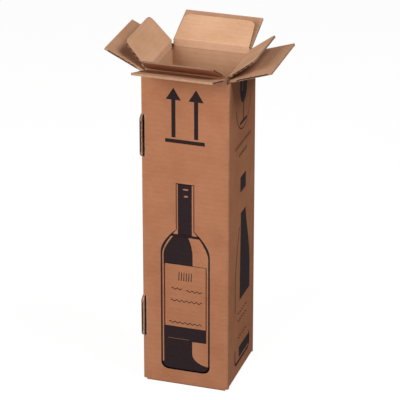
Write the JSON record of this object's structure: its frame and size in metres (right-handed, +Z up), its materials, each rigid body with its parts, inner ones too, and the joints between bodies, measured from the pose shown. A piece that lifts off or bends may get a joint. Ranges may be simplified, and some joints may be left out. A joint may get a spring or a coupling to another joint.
{
  "type": "bottle shipping box",
  "caption": "Tall square corrugated box for shipping a bottle: tab-locked outer carton with an inner cushioning sleeve, and two layers of top flaps that fold shut in turn.",
  "frame": {"origin": "centre of the base, on the floor", "axes": "+Z up, front wall with the arrows faces -Y, right wall faces +X"},
  "size_m": [0.1973, 0.1989, 0.4245],
  "materials": {
    "carton_board": "matte kraft",
    "sleeve_board": "matte kraft"
  },
  "bodies": {
    "carton": {"outer_carton": "carton_board", "inner_sleeve": "sleeve_board"},
    "front_flap": {"front_flap": "carton_board"},
    "front_neck": {"front_neck": "sleeve_board"},
    "front_inner_flap": {"front_inner_flap": "sleeve_board"},
    "right_flap": {"right_flap": "carton_board"},
    "right_neck": {"right_neck": "sleeve_board"},
    "right_inner_flap": {"right_inner_flap": "sleeve_board"},
    "rear_flap": {"rear_flap": "carton_board"},
    "rear_neck": {"rear_neck": "sleeve_board"},
    "rear_inner_flap": {"rear_inner_flap": "sleeve_board"},
    "left_flap": {"left_flap": "carton_board"},
    "left_neck": {"left_neck": "sleeve_board"},
    "left_inner_flap": {"left_inner_flap": "sleeve_board"}
  },
  "joints": [
    {"name": "front_flap_fold", "type": "hinge", "parent": "carton", "child": "front_flap", "pos_m": [0, -0.05125, 0.39475], "axis": [1, 0, 0], "range_deg": [-163, 0]},
    {"name": "front_neck_fold", "type": "hinge", "parent": "carton", "child": "front_neck", "pos_m": [0, -0.0485, 0.3882], "axis": [1, 0, 0], "range_deg": [-90.2, 0]},
    {"name": "front_inner_flap_fold", "type": "hinge", "parent": "front_neck", "child": "front_inner_flap", "pos_m": [0, -0.0485, 0.3977], "axis": [1, 0, 0], "range_deg": [-58.2, 0]},
    {"name": "right_flap_fold", "type": "hinge", "parent": "carton", "child": "right_flap", "pos_m": [0.05125, 0, 0.39195], "axis": [0, 1, 0], "range_deg": [-162, 0]},
    {"name": "right_neck_fold", "type": "hinge", "parent": "carton", "child": "right_neck", "pos_m": [0.0485, 0, 0.3859], "axis": [0, 1, 0], "range_deg": [-90.2, 0]},
    {"name": "right_inner_flap_fold", "type": "hinge", "parent": "right_neck", "child": "right_inner_flap", "pos_m": [0.0485, 0, 0.3954], "axis": [0, 1, 0], "range_deg": [-53.2, 0]},
    {"name": "rear_flap_fold", "type": "hinge", "parent": "carton", "child": "rear_flap", "pos_m": [0, 0.05125, 0.39475], "axis": [-1, 0, 0], "range_deg": [-158, 0]},
    {"name": "rear_neck_fold", "type": "hinge", "parent": "carton", "child": "rear_neck", "pos_m": [0, 0.0485, 0.3882], "axis": [-1, 0, 0], "range_deg": [-90.2, 0]},
    {"name": "rear_inner_flap_fold", "type": "hinge", "parent": "rear_neck", "child": "rear_inner_flap", "pos_m": [0, 0.0485, 0.3977], "axis": [-1, 0, 0], "range_deg": [-63.2, 0]},
    {"name": "left_flap_fold", "type": "hinge", "parent": "carton", "child": "left_flap", "pos_m": [-0.05125, 0, 0.39195], "axis": [0, -1, 0], "range_deg": [-154, 0]},
    {"name": "left_neck_fold", "type": "hinge", "parent": "carton", "child": "left_neck", "pos_m": [-0.0485, 0, 0.3859], "axis": [0, -1, 0], "range_deg": [-90.2, 0]},
    {"name": "left_inner_flap_fold", "type": "hinge", "parent": "left_neck", "child": "left_inner_flap", "pos_m": [-0.0485, 0, 0.3954], "axis": [0, -1, 0], "range_deg": [-42.2, 0]}
  ],
  "couplings": [
    {"joint": "front_neck_fold", "follows": "front_flap_fold", "ratio": 0.55215},
    {"joint": "front_inner_flap_fold", "follows": "front_flap_fold", "ratio": 0.35583},
    {"joint": "right_neck_fold", "follows": "right_flap_fold", "ratio": 0.55556},
    {"joint": "right_inner_flap_fold", "follows": "right_flap_fold", "ratio": 0.32716},
    {"joint": "rear_neck_fold", "follows": "rear_flap_fold", "ratio": 0.56962},
    {"joint": "rear_inner_flap_fold", "follows": "rear_flap_fold", "ratio": 0.39873},
    {"joint": "left_neck_fold", "follows": "left_flap_fold", "ratio": 0.58442},
    {"joint": "left_inner_flap_fold", "follows": "left_flap_fold", "ratio": 0.27273}
  ]
}
